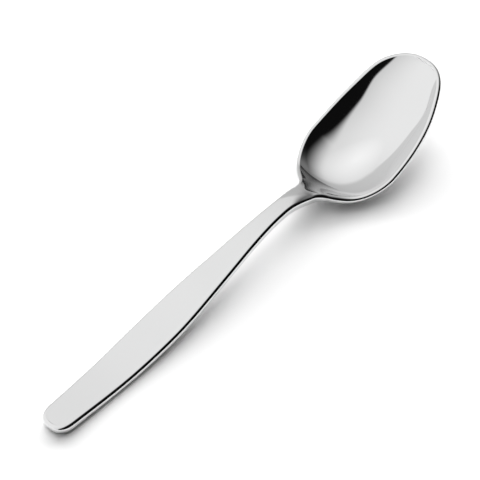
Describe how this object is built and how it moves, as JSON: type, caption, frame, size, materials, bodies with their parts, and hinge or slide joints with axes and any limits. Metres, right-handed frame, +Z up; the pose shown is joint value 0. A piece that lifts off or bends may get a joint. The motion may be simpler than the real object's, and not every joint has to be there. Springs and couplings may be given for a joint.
{
  "type": "tablespoon",
  "caption": "Polished steel tablespoon with an egg-shaped bowl, a raised slender neck and a plain tapered handle with a rounded end.",
  "frame": {"origin": "middle of the spoon's length and width, on the surface that it lies on", "axes": "+X along the spoon from the handle end to the tip of the bowl, +Y to the left, +Z up, with the hollow of the bowl open upwards"},
  "size_m": [0.202, 0.0428, 0.0228],
  "materials": {
    "steel": "mirror-polished stainless steel"
  },
  "bodies": {
    "root": {"bowl": "steel", "neck": "steel", "handle": "steel"}
  },
  "joints": []
}
